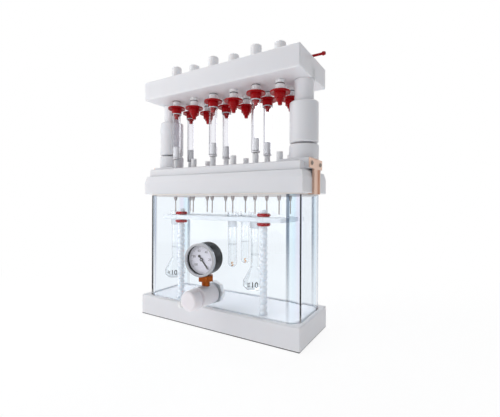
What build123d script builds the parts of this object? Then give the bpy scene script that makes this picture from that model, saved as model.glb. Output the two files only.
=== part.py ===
from build123d import *
import os
from math import cos, radians, sin, sqrt

# Twelve-port vacuum manifold for solid phase extraction, with its drying attachment
# in place and six cartridges loaded. Millimetres, +Z up, front of the manifold is -Y,
# origin at the middle of the base block's underside.

os.makedirs("parts", exist_ok=True)

# ---------------------------------------------------------------- driving dimensions
# Port grid, shared by lid, foot, rack and top plate
columns = 6
column_pitch = 33.1
row_pitch = 31.0
loaded_columns = (0, 2, 4)

# Glass chamber
glass_depth = 77.0
glass_wall = 4.5
glass_corner = 14.0
glass_showing = 143.2

# Base block, wider than the glass all round
base_end_margin = 5.0
base_side_margin = 5.5
base_height = 27.0
base_edge = 1.0
groove_depth = 4.0
groove_clearance = 0.4
base_seal_thickness = 1.0

# Lid and its seal
lid_beyond_posts = 14.2
lid_end_overhang = 5.2
lid_side_overhang = 0.9
lid_height = 25.3
lid_shoulder = 7.8
lid_shoulder_taper = 14.0
lid_edge = 0.8
seal_flange = 1.5
seal_lip_drop = 4.2
seal_lip_width = 3.0

# Foot plate of the drying attachment
foot_setback = 5.0
foot_thickness = 10.5
foot_edge = 1.0
land_inner_margin = 4.5
land_side_margin = 3.5
land_height = 4.0
land_undercut = 2.7

# Guide posts
post_beyond_ports = 24.25
guide_pin_diameter = 14.0
guide_pin_clearance = 0.05
guide_pin_floor = 1.5
guide_pin_grip = 20.0
socket_diameter = 35.0
socket_height = 17.7
socket_edge = 1.2
post_gap = 1.8
spacer_diameter = 34.2
spacer_height = 48.5
spacer_lip = 4.0
rod_diameter = 23.0
rod_clearance = 0.1
rod_grip = 12.0

# Top plate of the drying attachment
top_beyond_posts = 12.0
top_depth = 84.7
top_thickness = 25.8
top_edge = 1.0
flange_headroom = 7.8

# Port plungers: stem with its knob, and the stepped adapter on its lower end
knob_diameter = 14.0
knob_height = 19.5
knob_edge = 1.4
stem_diameter = 11.0
stem_clearance = 0.05
stem_groove_width = 1.6
stem_groove_depth = 0.5
stem_groove_above_flange = 7.0
spigot_diameter = 6.0
spigot_length = 5.0
plunger_lift = 4.2
flange_diameter = 24.0
flange_thickness = 2.2
flange_droop = 1.0
adapter_body_diameter = 14.0
adapter_body_height = 7.5
middle_step_diameter = 9.1
middle_step_height = 3.2
step_draft = 0.3
tip_top_diameter = 5.8
tip_end_diameter = 4.8
tip_height = 4.3
gas_bore_diameter = 2.5

# Cartridges
barrel_diameter = 11.0
barrel_wall = 0.8
barrel_length = 65.0
rim_diameter = 13.4
rim_thickness = 1.6
barrel_floor = 1.2
barrel_cone = 1.4
luer_tip_length = 9.6
luer_gap = 0.8
luer_end_diameter = 3.95
luer_taper_ratio = 0.06
luer_bore = 2.2
frit_thickness = 1.6
sorbent_height = 12.4
frit_clearance = 0.05

# Luer ports and needles
port_diameter = 7.6
port_above_foot = 13.5
port_hole_clearance = 0.3
port_bore = 2.6
port_tip_length = 5.0
needle_hub_diameter = 6.2
needle_hub_height = 8.5
needle_hub_rim = 2.0
needle_hub_socket = 5.4
needle_hub_waist = 3.4
needle_diameter = 1.8
needle_bore = 0.9
needle_reach = 25.0

# Rack
rack_end_margin = 11.25
rack_side_gap = 3.0
rack_thickness = 5.5
rack_corner = 4.0
rack_height = 138.75
rack_hole_diameter = 12.8
rack_boss_diameter = 14.0
rack_boss_height = 0.75
rack_post_offset = 3.2
rack_post_gap = 0.545
rack_post_inset = 6.5
rack_post_diameter = 9.6
rack_post_above = 9.0
rack_post_socket = 8.0
rack_post_clearance = 0.05
notch_pitch = 7.0
notch_width = 2.4
notch_depth = 1.0
ring_diameter = 16.0
ring_thickness = 4.0
ring_edge = 1.2

# Vessels
vessel_wall = 1.0
collar_diameter = 14.6
collar_height = 5.5
joint_diameter = 12.2
joint_length = 14.0
flask_neck_diameter = 10.0
flask_cone_height = 17.0
flask_side_height = 10.2
flask_body_diameter = 28.4
flask_floor_height = 52.8
flask_floor_edge = 4.0
tube_diameter = 11.6
tube_floor_height = 76.0

# Vacuum valve
valve_height = 45.5
valve_diameter = 24.5
valve_length = 27.5
valve_edge = 1.0
valve_neck_diameter = 13.0
valve_neck_length = 2.7
valve_thread_diameter = 16.6
glass_hole_clearance = 0.3
valve_bore = 6.0
valve_bore_depth = 13.0
valve_nut_diameter = 28.6
valve_nut_thickness = 6.0
valve_thread_end = 1.2
bleed_knob_diameter = 23.4
bleed_knob_length = 14.0
bleed_knob_edge = 3.0
bleed_knob_gap = 0.3
bleed_stem_diameter = 8.0
bleed_stem_length = 10.0
bleed_stem_clearance = 0.05
nipple_angle = 25.0
nipple_reach = 36.0
nipple_root = 8.0
nipple_standoff = 21.5
nipple_diameter = 8.0
nipple_barb_diameter = 10.0
nipple_barb_land = 1.5
nipple_barb_pitch = 5.0
nipple_barbs = 3
nipple_bore = 4.6
nipple_collar_diameter = 12.0
nipple_collar_thickness = 2.0

# Vacuum gauge
gauge_standoff = 11.5
gauge_turn = 9.0
case_diameter = 39.2
case_behind = 7.8
case_front = 13.0
case_edge = 1.5
dial_recess = 4.0
dial_thickness = 0.6
dial_gap = 0.3
bezel_lip = 0.7
bezel_width = 3.05
bezel_depth = 3.4
bezel_edge = 1.0
lens_thickness = 1.4
lens_clearance = 0.2
pointer_length = 14.2
pointer_tail = 5.0
pointer_width = 1.3
pointer_thickness = 0.5
pointer_hub_diameter = 4.0
pointer_hub_thickness = 1.0
pointer_tail_diameter = 3.2
pointer_gap = 0.5
pointer_axle_diameter = 1.4
pointer_axle_clearance = 0.05
pointer_zero_angle = -52.0
socket_hex = 17.0
socket_hex_height = 6.8
socket_shank_diameter = 7.0
socket_shank_entry = 5.0
socket_thread_diameter = 9.8
socket_thread_showing = 5.45
socket_thread_entry = 8.0

# Retaining clips
clip_head_height = 11.4
clip_strap_width = 19.4
clip_depth = 2.7
clip_sheet = 1.2
clip_hook_clearance = 0.4
clip_screw_spacing = 28.0
clip_screw_diameter = 3.0
clip_screw_head = 5.4
clip_screw_head_height = 1.6
clip_screw_length = 10.0

# Gas inlet
inlet_y = 5.0
inlet_axis_height = 3.7
inlet_boss_diameter = 8.0
inlet_boss_height = 6.5
inlet_boss_edge = 0.8
inlet_tube_diameter = 3.0
inlet_bore = 1.6
inlet_length = 24.0
inlet_barb_diameter = 4.8
inlet_barb_land = 1.2
inlet_barb_length = 3.4
inlet_barb_tip = 3.6
inlet_boss_entry = 5.0

# ---------------------------------------------------------------- derived sizes
# Along X, from the last ports outwards
last_port_x = (columns - 1) / 2 * column_pitch
post_x = last_port_x + post_beyond_ports
lid_end = post_x + lid_beyond_posts
lid_length = 2 * lid_end
glass_length = lid_length - 2 * lid_end_overhang
base_length = glass_length + 2 * base_end_margin
foot_length = lid_length - 2 * foot_setback
land_inner_edge = post_x - socket_diameter / 2 - land_inner_margin
top_length = 2 * (post_x + top_beyond_posts)
rack_length = 2 * (last_port_x + rack_end_margin)
clip_hook_reach = lid_end_overhang - clip_hook_clearance

# Along Y, from the glass
base_depth = glass_depth + 2 * base_side_margin
lid_depth = glass_depth + 2 * lid_side_overhang
foot_depth = lid_depth - 2 * foot_setback
land_depth = socket_diameter + 2 * land_side_margin
rack_depth = glass_depth - 2 * glass_wall - 2 * rack_side_gap
rack_post_y = rack_post_inset - rack_depth / 2
glass_front = -glass_depth / 2
valve_front = glass_front - valve_length
gauge_y = glass_front - gauge_standoff
nipple_y = glass_front - nipple_standoff
knob_back = valve_front - valve_neck_length - bleed_knob_gap

# ---------------------------------------------------------------- derived levels
glass_top = base_height + glass_showing - seal_flange
lid_underside = base_height + glass_showing
lid_top = lid_underside + lid_height
foot_top = lid_top + foot_thickness
land_top = foot_top + land_height
land_underside = lid_top + land_undercut
port_top = foot_top + port_above_foot
socket_top = land_top + socket_height
spacer_underside = socket_top + post_gap
spacer_top = spacer_underside + spacer_height
rod_underside = spacer_underside + spacer_lip
guide_pin_end = lid_top + guide_pin_floor

barrel_underside = port_top + luer_gap + barrel_cone
cartridge_top = barrel_underside + barrel_length
barrel_radius = barrel_diameter / 2
barrel_bore_radius = barrel_radius - barrel_wall
bed_floor = barrel_underside + barrel_floor

bezel_diameter = case_diameter + 2 * bezel_lip
bezel_opening = bezel_diameter - 2 * bezel_width
top_underside = cartridge_top + adapter_body_height + flange_thickness + flange_headroom
top_surface = top_underside + top_thickness
rack_top = rack_height + rack_thickness / 2
rack_post_top = rack_top + rack_post_above
valve_crown = valve_height + valve_diameter / 2
hex_bottom = valve_crown + socket_thread_showing
hex_top = hex_bottom + socket_hex_height
gauge_z = hex_top + dial_gap + bezel_diameter / 2


def port_x(column):
    """X of a column of ports, counted from the left."""
    return (column - (columns - 1) / 2) * column_pitch


row_y = {"front": -row_pitch / 2, "back": row_pitch / 2}
ports = [(row, column) for row in row_y for column in range(columns)]
port_places = [(port_x(column), row_y[row]) for row, column in ports]
loaded_ports = [(row, column) for row, column in ports if column in loaded_columns]
loaded_places = [(port_x(column), row_y[row]) for row, column in loaded_ports]
end_places = [(-post_x, 0), (post_x, 0)]

# The left rack post stands between the first two columns, a little right of the middle;
# the right one stands clear of the flask in the fifth column
flask_columns = {"flask_left": 0, "flask_right": 4}
rack_post_left = (port_x(0) + port_x(1)) / 2 + rack_post_offset
post_to_flask = (flask_body_diameter + rack_post_diameter) / 2 + rack_post_gap
post_ahead = row_y["front"] - rack_post_y
rack_post_right = port_x(flask_columns["flask_right"]) + sqrt(post_to_flask**2 - post_ahead**2)
post_places = [(rack_post_left, rack_post_y), (rack_post_right, rack_post_y)]


def save(piece, label):
    """Name a finished piece and write its file."""
    piece.label = label
    export_step(piece, f"parts/{label}.step")


def turned(outline):
    """A solid turned about Z from an outline of (radius, height) points."""
    with BuildPart() as work:
        with BuildSketch(Plane.XZ):
            with BuildLine():
                Polyline(*outline, close=True)
            make_face()
        revolve(axis=Axis.Z)
    return work.part


# ---------------------------------------------------------------- base block
with BuildPart() as base_block:
    with BuildSketch():
        Rectangle(base_length, base_depth)
    extrude(amount=base_height)
    chamfer(base_block.edges(), base_edge)
    with BuildSketch(Plane.XY.offset(base_height)):
        RectangleRounded(
            glass_length + 2 * groove_clearance,
            glass_depth + 2 * groove_clearance,
            glass_corner + groove_clearance,
        )
        RectangleRounded(
            glass_length - 2 * glass_wall - 2 * groove_clearance,
            glass_depth - 2 * glass_wall - 2 * groove_clearance,
            glass_corner - glass_wall - groove_clearance,
            mode=Mode.SUBTRACT,
        )
    extrude(amount=-groove_depth, mode=Mode.SUBTRACT)
    with Locations(Plane.XY.offset(base_height)):
        with Locations(*post_places):
            Hole(rack_post_diameter / 2 + rack_post_clearance, depth=rack_post_socket)
save(base_block.part, "base_block")

# Seal in the bottom of the base's groove, under the glass
with BuildPart() as base_seal:
    with BuildSketch(Plane.XY.offset(base_height - groove_depth)):
        RectangleRounded(glass_length, glass_depth, glass_corner)
        RectangleRounded(
            glass_length - 2 * glass_wall,
            glass_depth - 2 * glass_wall,
            glass_corner - glass_wall,
            mode=Mode.SUBTRACT,
        )
    extrude(amount=base_seal_thickness)
save(base_seal.part, "base_seal")

# ---------------------------------------------------------------- glass chamber
# A square tube with rounded corners and one hole for the vacuum valve in its front
glass_bottom = base_height - groove_depth + base_seal_thickness
with BuildPart() as glass_chamber:
    with BuildSketch(Plane.XY.offset(glass_bottom)):
        RectangleRounded(glass_length, glass_depth, glass_corner)
        RectangleRounded(
            glass_length - 2 * glass_wall,
            glass_depth - 2 * glass_wall,
            glass_corner - glass_wall,
            mode=Mode.SUBTRACT,
        )
    extrude(amount=glass_top - glass_bottom)
    with BuildSketch(Plane.XZ.offset(-glass_front - glass_wall)):
        with Locations((0, valve_height)):
            Circle(valve_thread_diameter / 2 + glass_hole_clearance)
    extrude(amount=glass_wall, mode=Mode.SUBTRACT)
save(glass_chamber.part, "glass_chamber")

# Seal over the rim of the glass, with a lip that hangs inside it
with BuildPart() as lid_seal:
    with BuildSketch(Plane.XY.offset(glass_top)):
        RectangleRounded(glass_length, glass_depth, glass_corner)
    extrude(amount=seal_flange)
    with BuildSketch(Plane.XY.offset(glass_top)):
        RectangleRounded(
            glass_length - 2 * glass_wall,
            glass_depth - 2 * glass_wall,
            glass_corner - glass_wall,
        )
    extrude(amount=-seal_lip_drop)
    with BuildSketch(Plane.XY.offset(glass_top + seal_flange)):
        RectangleRounded(
            glass_length - 2 * glass_wall - 2 * seal_lip_width,
            glass_depth - 2 * glass_wall - 2 * seal_lip_width,
            glass_corner - glass_wall - seal_lip_width,
        )
    extrude(amount=-seal_flange - seal_lip_drop, mode=Mode.SUBTRACT)
save(lid_seal.part, "lid_seal")

# ---------------------------------------------------------------- chamber lid
with BuildPart() as chamber_lid:
    with BuildSketch(Plane.XY.offset(lid_underside)):
        Rectangle(lid_length, lid_depth)
    extrude(amount=lid_height - lid_shoulder)
    chamfer(chamber_lid.edges().group_by(Axis.Z)[0], lid_edge)
    with BuildSketch(Plane.XY.offset(lid_top - lid_shoulder)):
        Rectangle(lid_length, lid_depth)
    extrude(amount=lid_shoulder, taper=lid_shoulder_taper)
    with Locations(Plane.XY.offset(lid_top)):
        with Locations(*port_places):
            Hole(port_diameter / 2)
save(chamber_lid.part, "chamber_lid")

# ---------------------------------------------------------------- attachment foot
with BuildPart() as attachment_foot:
    with BuildSketch(Plane.XY.offset(lid_top)):
        Rectangle(foot_length, foot_depth)
    extrude(amount=foot_thickness)
    chamfer(attachment_foot.edges().group_by(Axis.Z)[-1], foot_edge)
    for side in (-1, 1):
        with BuildSketch(Plane.XY.offset(land_underside)):
            with Locations((side * (land_inner_edge + lid_end) / 2, 0)):
                Rectangle(lid_end - land_inner_edge, land_depth)
        extrude(amount=land_top - land_underside)
    with Locations(Plane.XY.offset(land_top)):
        with Locations(*end_places):
            Hole(
                guide_pin_diameter / 2 + guide_pin_clearance,
                depth=land_top - guide_pin_end,
            )
        with Locations(*port_places):
            Hole(port_diameter / 2 + port_hole_clearance)
    for side in (-1, 1):
        with BuildSketch(Plane.YZ.offset(side * lid_end)):
            with Locations((0, land_top - clip_head_height / 2)):
                with GridLocations(clip_screw_spacing, 0, 2, 1):
                    Circle(clip_screw_diameter / 2)
        extrude(amount=-side * clip_screw_length, mode=Mode.SUBTRACT)
save(attachment_foot.part, "attachment_foot")

# ---------------------------------------------------------------- retaining clips
# A T-shaped sheet clip on each end: its head is screwed to the land of the foot, its
# strap runs down the end of the lid and hooks under it
clip_underside = lid_underside - clip_sheet
with BuildPart() as retaining_clips:
    for side in (-1, 1):
        with BuildSketch(Plane.YZ.offset(side * lid_end)):
            with Locations((0, land_top - clip_head_height / 2)):
                Rectangle(land_depth, clip_head_height)
            with Locations((0, (land_top + clip_underside) / 2)):
                Rectangle(clip_strap_width, land_top - clip_underside)
        extrude(amount=side * clip_sheet)
        with BuildSketch(Plane.XY.offset(clip_underside)):
            with Locations((side * (lid_end - clip_hook_reach / 2), 0)):
                Rectangle(clip_hook_reach, clip_strap_width)
        extrude(amount=clip_sheet)
        for edge in (-1, 1):
            flange_y = edge * (clip_strap_width / 2 - clip_sheet / 2)
            with BuildSketch(Plane.YZ.offset(side * lid_end)):
                with Locations((flange_y, (land_underside + clip_underside) / 2)):
                    Rectangle(clip_sheet, land_underside - clip_underside)
            extrude(amount=side * clip_depth)
        with BuildSketch(Plane.YZ.offset(side * lid_end)):
            with Locations((0, land_top - clip_head_height / 2)):
                with GridLocations(clip_screw_spacing, 0, 2, 1):
                    Circle(clip_screw_diameter / 2)
        extrude(amount=side * clip_sheet, mode=Mode.SUBTRACT)
save(retaining_clips.part, "retaining_clips")

# Pan-head screws of the clips
with BuildPart() as clip_screws:
    for side in (-1, 1):
        with BuildSketch(Plane.YZ.offset(side * (lid_end + clip_sheet))):
            with Locations((0, land_top - clip_head_height / 2)):
                with GridLocations(clip_screw_spacing, 0, 2, 1):
                    Circle(clip_screw_head / 2)
        extrude(amount=side * clip_screw_head_height)
        with BuildSketch(Plane.YZ.offset(side * (lid_end + clip_sheet))):
            with Locations((0, land_top - clip_head_height / 2)):
                with GridLocations(clip_screw_spacing, 0, 2, 1):
                    Circle(clip_screw_diameter / 2)
        extrude(amount=-side * clip_screw_length)
save(clip_screws.part, "clip_screws")

# ---------------------------------------------------------------- guide posts
# Socket sleeves stand on the lands, spacer sleeves hang on the rods' shoulders
socket = turned([
    (guide_pin_diameter / 2 + guide_pin_clearance, land_top),
    (socket_diameter / 2, land_top),
    (socket_diameter / 2, socket_top - socket_edge),
    (socket_diameter / 2 - socket_edge, socket_top),
    (guide_pin_diameter / 2 + guide_pin_clearance, socket_top),
])
with BuildPart() as socket_sleeves:
    with Locations(*end_places):
        add(socket)
save(socket_sleeves.part, "socket_sleeves")

spacer = turned([
    (guide_pin_diameter / 2, spacer_underside),
    (spacer_diameter / 2 - socket_edge, spacer_underside),
    (spacer_diameter / 2, spacer_underside + socket_edge),
    (spacer_diameter / 2, spacer_top - socket_edge),
    (spacer_diameter / 2 - socket_edge, spacer_top),
    (rod_diameter / 2 + rod_clearance, spacer_top),
    (rod_diameter / 2 + rod_clearance, rod_underside),
    (guide_pin_diameter / 2, rod_underside),
])
with BuildPart() as spacer_sleeves:
    with Locations(*end_places):
        add(spacer)
save(spacer_sleeves.part, "spacer_sleeves")

rod = turned([
    (guide_pin_diameter / 2, rod_underside),
    (rod_diameter / 2, rod_underside),
    (rod_diameter / 2, top_underside + rod_grip),
    (0, top_underside + rod_grip),
    (0, rod_underside + guide_pin_grip),
    (guide_pin_diameter / 2, rod_underside + guide_pin_grip),
])
with BuildPart() as guide_rods:
    with Locations(*end_places):
        add(rod)
save(guide_rods.part, "guide_rods")

guide_pin = turned([
    (0, guide_pin_end),
    (guide_pin_diameter / 2 - socket_edge, guide_pin_end),
    (guide_pin_diameter / 2, guide_pin_end + socket_edge),
    (guide_pin_diameter / 2, rod_underside + guide_pin_grip),
    (0, rod_underside + guide_pin_grip),
])
with BuildPart() as guide_pins:
    with Locations(*end_places):
        add(guide_pin)
save(guide_pins.part, "guide_pins")

# ---------------------------------------------------------------- top plate
with BuildPart() as top_plate:
    with BuildSketch(Plane.XY.offset(top_underside)):
        Rectangle(top_length, top_depth)
    extrude(amount=top_thickness)
    chamfer(top_plate.edges(), top_edge)
    with BuildSketch(Plane.XY.offset(top_underside)):
        with Locations(*end_places):
            Circle(rod_diameter / 2)
    extrude(amount=rod_grip, mode=Mode.SUBTRACT)
    with Locations(Plane.XY.offset(top_surface)):
        with Locations(*port_places):
            Hole(stem_diameter / 2 + stem_clearance)
        with Locations((post_x, inlet_y)):
            Hole(inlet_tube_diameter / 2, depth=inlet_boss_entry)
save(top_plate.part, "top_plate")

# Gas inlet: a boss screwed into the top plate and a barbed tube pointing right
inlet_axis_z = top_surface + inlet_axis_height
inlet_plane = Plane(
    origin=(post_x, inlet_y, inlet_axis_z), x_dir=(0, 1, 0), z_dir=(1, 0, 0)
)
inlet_barb_start = inlet_length - inlet_barb_length
inlet_tube = inlet_plane * turned([
    (0, 0),
    (inlet_tube_diameter / 2, 0),
    (inlet_tube_diameter / 2, inlet_barb_start),
    (inlet_barb_diameter / 2, inlet_barb_start),
    (inlet_barb_diameter / 2, inlet_barb_start + inlet_barb_land),
    (inlet_barb_tip / 2, inlet_length),
    (0, inlet_length),
])
with BuildPart() as gas_inlet:
    with BuildSketch(Plane.XY.offset(top_surface)):
        with Locations((post_x, inlet_y)):
            Circle(inlet_boss_diameter / 2)
    extrude(amount=inlet_boss_height)
    chamfer(gas_inlet.edges().group_by(Axis.Z)[-1], inlet_boss_edge)
    with BuildSketch(Plane.XY.offset(top_surface)):
        with Locations((post_x, inlet_y)):
            Circle(inlet_tube_diameter / 2)
    extrude(amount=-inlet_boss_entry)
    add(inlet_tube)
    with BuildSketch(inlet_plane.offset(inlet_length)):
        Circle(inlet_bore / 2)
    extrude(amount=-inlet_length, mode=Mode.SUBTRACT)
save(gas_inlet.part, "gas_inlet")

# ---------------------------------------------------------------- port plungers
# At its lower stop a plunger hangs by its knob; a cartridge lifts it by plunger_lift
seat_low = cartridge_top - plunger_lift
flange_under = seat_low + adapter_body_height
flange_top = flange_under + flange_thickness
groove_low = flange_top + stem_groove_above_flange
stem_radius = stem_diameter / 2
stem = turned([
    (0, flange_top - spigot_length),
    (spigot_diameter / 2, flange_top - spigot_length),
    (spigot_diameter / 2, flange_top),
    (stem_radius, flange_top),
    (stem_radius, groove_low),
    (stem_radius - stem_groove_depth, groove_low),
    (stem_radius - stem_groove_depth, groove_low + stem_groove_width),
    (stem_radius, groove_low + stem_groove_width),
    (stem_radius, top_surface),
    (knob_diameter / 2, top_surface),
    (knob_diameter / 2, top_surface + knob_height - knob_edge),
    (knob_diameter / 2 - knob_edge, top_surface + knob_height),
    (0, top_surface + knob_height),
])
step_level = seat_low - middle_step_height
tip_level = step_level - tip_height
adapter = turned([
    (gas_bore_diameter / 2, tip_level),
    (tip_end_diameter / 2, tip_level),
    (tip_top_diameter / 2, step_level),
    (middle_step_diameter / 2 - step_draft, step_level),
    (middle_step_diameter / 2, seat_low),
    (adapter_body_diameter / 2 - step_draft, seat_low),
    (adapter_body_diameter / 2, flange_under),
    (flange_diameter / 2, flange_under - flange_droop),
    (flange_diameter / 2, flange_top - flange_droop),
    (adapter_body_diameter / 2, flange_top),
    (spigot_diameter / 2, flange_top),
    (spigot_diameter / 2, flange_top - spigot_length),
    (gas_bore_diameter / 2, flange_top - spigot_length),
])
for row, column in ports:
    lift = plunger_lift if (row, column) in loaded_ports else 0
    place = (port_x(column), row_y[row], lift)
    with BuildPart() as port_stem:
        with Locations(place):
            add(stem)
    save(port_stem.part, f"port_stem_{row}_{column + 1}")
    with BuildPart() as port_adapter:
        with Locations(place):
            add(adapter)
    save(port_adapter.part, f"port_adapter_{row}_{column + 1}")

# ---------------------------------------------------------------- cartridges
tip_end = port_top - luer_tip_length
tip_radius_end = luer_end_diameter / 2
tip_radius_top = tip_radius_end + luer_taper_ratio / 2 * luer_tip_length
barrel = turned([
    (luer_bore / 2, tip_end),
    (tip_radius_end, tip_end),
    (tip_radius_top, port_top),
    (tip_radius_top, barrel_underside - barrel_cone),
    (barrel_radius, barrel_underside),
    (barrel_radius, cartridge_top - rim_thickness),
    (rim_diameter / 2, cartridge_top - rim_thickness),
    (rim_diameter / 2, cartridge_top),
    (barrel_bore_radius, cartridge_top),
    (barrel_bore_radius, bed_floor),
    (luer_bore / 2, bed_floor),
])
for row in row_y:
    with BuildPart() as cartridge_barrels:
        with Locations(*[(port_x(column), row_y[row]) for column in loaded_columns]):
            add(barrel)
    save(cartridge_barrels.part, f"cartridge_barrels_{row}")

bed_radius = barrel_bore_radius - frit_clearance
upper_frit = bed_floor + frit_thickness + sorbent_height
with BuildPart() as frits:
    for level in (bed_floor, upper_frit):
        with BuildSketch(Plane.XY.offset(level)):
            with Locations(*loaded_places):
                Circle(bed_radius)
        extrude(amount=frit_thickness)
save(frits.part, "frits")

with BuildPart() as sorbent_beds:
    with BuildSketch(Plane.XY.offset(bed_floor + frit_thickness)):
        with Locations(*loaded_places):
            Circle(bed_radius)
    extrude(amount=sorbent_height)
save(sorbent_beds.part, "sorbent_beds")

# ---------------------------------------------------------------- luer ports and needles
port_tip_end = lid_underside - port_tip_length
luer_port = turned([
    (port_bore / 2, port_tip_end),
    (tip_radius_end, port_tip_end),
    (tip_radius_end + luer_taper_ratio / 2 * port_tip_length, lid_underside),
    (port_diameter / 2, lid_underside),
    (port_diameter / 2, port_top),
    (tip_radius_top, port_top),
    (tip_radius_end, tip_end),
    (tip_radius_end, tip_end - luer_gap),
    (port_bore / 2, tip_end - luer_gap),
])
with BuildPart() as luer_ports:
    with Locations(*port_places):
        add(luer_port)
save(luer_ports.part, "luer_ports")

hub_floor = lid_underside - needle_hub_socket
hub_end = lid_underside - needle_hub_height
needle = turned([
    (needle_bore / 2, lid_underside - needle_reach),
    (needle_diameter / 2, lid_underside - needle_reach),
    (needle_diameter / 2, hub_end),
    (needle_hub_waist / 2, hub_end),
    (needle_hub_diameter / 2, lid_underside - needle_hub_rim),
    (needle_hub_diameter / 2, lid_underside),
    (tip_radius_end + luer_taper_ratio / 2 * port_tip_length, lid_underside),
    (tip_radius_end, port_tip_end),
    (tip_radius_end, hub_floor),
    (needle_bore / 2, hub_floor),
])
with BuildPart() as needles:
    with Locations(*port_places):
        add(needle)
save(needles.part, "needles")

# ---------------------------------------------------------------- rack
rack_underside = rack_height - rack_thickness / 2
with BuildPart() as rack_plate:
    with BuildSketch(Plane.XY.offset(rack_underside)):
        RectangleRounded(rack_length, rack_depth, rack_corner)
    extrude(amount=rack_thickness)
    with BuildSketch(Plane.XY.offset(rack_underside - rack_boss_height)):
        with Locations(*post_places):
            Circle(rack_boss_diameter / 2)
    extrude(amount=rack_thickness + 2 * rack_boss_height)
    with BuildSketch(Plane.XY.offset(rack_underside - rack_boss_height)):
        with Locations(*port_places):
            Circle(rack_hole_diameter / 2)
        with Locations(*post_places):
            Circle(rack_post_diameter / 2 + rack_post_clearance)
    extrude(amount=rack_thickness + 2 * rack_boss_height, mode=Mode.SUBTRACT)
save(rack_plate.part, "rack_plate")

# Posts with a ladder of shallow notches, in which the rings grip
ring_seat = rack_thickness / 2 + rack_boss_height + ring_thickness / 2
notch_levels = []
level = rack_height + ring_seat - notch_pitch
while level - notch_pitch > base_height:
    level -= notch_pitch
    notch_levels.insert(0, level)
post_outline = [(0, base_height - rack_post_socket)]
post_outline.append((rack_post_diameter / 2, base_height - rack_post_socket))
for level in notch_levels:
    post_outline.append((rack_post_diameter / 2, level - notch_width))
    post_outline.append((rack_post_diameter / 2 - notch_depth, level))
    post_outline.append((rack_post_diameter / 2, level + notch_width))
post_outline.append((rack_post_diameter / 2, rack_post_top - socket_edge))
post_outline.append((rack_post_diameter / 2 - socket_edge, rack_post_top))
post_outline.append((0, rack_post_top))
rack_post = turned(post_outline)
with BuildPart() as rack_posts:
    with Locations(*post_places):
        add(rack_post)
save(rack_posts.part, "rack_posts")

# Rings above and below the plate clamp it on the posts
with BuildPart() as rack_rings:
    for level in (rack_height - ring_seat, rack_height + ring_seat):
        with BuildSketch(Plane.XY.offset(level - ring_thickness / 2)):
            with Locations(*post_places):
                Circle(ring_diameter / 2)
        extrude(amount=ring_thickness)
    outer_edges = rack_rings.edges().filter_by(GeomType.CIRCLE)
    chamfer(outer_edges, ring_edge)
    with BuildSketch(Plane.XY.offset(rack_height - 2 * ring_seat)):
        with Locations(*post_places):
            Circle(rack_post_diameter / 2)
    extrude(amount=4 * ring_seat, mode=Mode.SUBTRACT)
save(rack_rings.part, "rack_rings")

# ---------------------------------------------------------------- vessels
vessel_top = rack_top + collar_height
joint_end = vessel_top - collar_height - joint_length
neck_radius = flask_neck_diameter / 2
body_radius = flask_body_diameter / 2
flask_waist = flask_floor_height + flask_side_height
flask_shoulder = flask_waist + flask_cone_height
flask = turned([
    (0, flask_floor_height),
    (body_radius - flask_floor_edge, flask_floor_height),
    (body_radius, flask_floor_height + flask_floor_edge),
    (body_radius, flask_waist),
    (neck_radius, flask_shoulder),
    (neck_radius, joint_end),
    (joint_diameter / 2, joint_end + vessel_wall),
    (joint_diameter / 2, rack_top),
    (collar_diameter / 2, rack_top),
    (collar_diameter / 2, vessel_top),
    (neck_radius - vessel_wall, vessel_top),
    (neck_radius - vessel_wall, flask_shoulder),
    (body_radius - vessel_wall, flask_waist),
    (body_radius - vessel_wall, flask_floor_height + flask_floor_edge),
    (body_radius - flask_floor_edge, flask_floor_height + vessel_wall),
    (0, flask_floor_height + vessel_wall),
])
for label, column in flask_columns.items():
    with BuildPart() as volumetric_flask:
        with Locations((port_x(column), row_y["front"])):
            add(flask)
    save(volumetric_flask.part, label)

tube_radius = tube_diameter / 2
tube_column = 3
with BuildPart() as tube:
    with BuildSketch(Plane.XZ):
        with BuildLine():
            Line((0, tube_floor_height), (0, tube_floor_height + vessel_wall))
            inner_radius = tube_radius - vessel_wall
            RadiusArc(
                (0, tube_floor_height + vessel_wall),
                (inner_radius, tube_floor_height + tube_radius),
                -inner_radius,
            )
            Polyline(
                (inner_radius, tube_floor_height + tube_radius),
                (inner_radius, vessel_top),
                (collar_diameter / 2, vessel_top),
                (collar_diameter / 2, rack_top),
                (tube_radius, rack_top),
                (tube_radius, tube_floor_height + tube_radius),
            )
            RadiusArc(
                (0, tube_floor_height),
                (tube_radius, tube_floor_height + tube_radius),
                -tube_radius,
            )
        make_face()
    revolve(axis=Axis.Z)
with BuildPart() as collection_tubes:
    with Locations(*[(port_x(tube_column), row_y[row]) for row in row_y]):
        add(tube.part)
save(collection_tubes.part, "collection_tubes")

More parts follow.
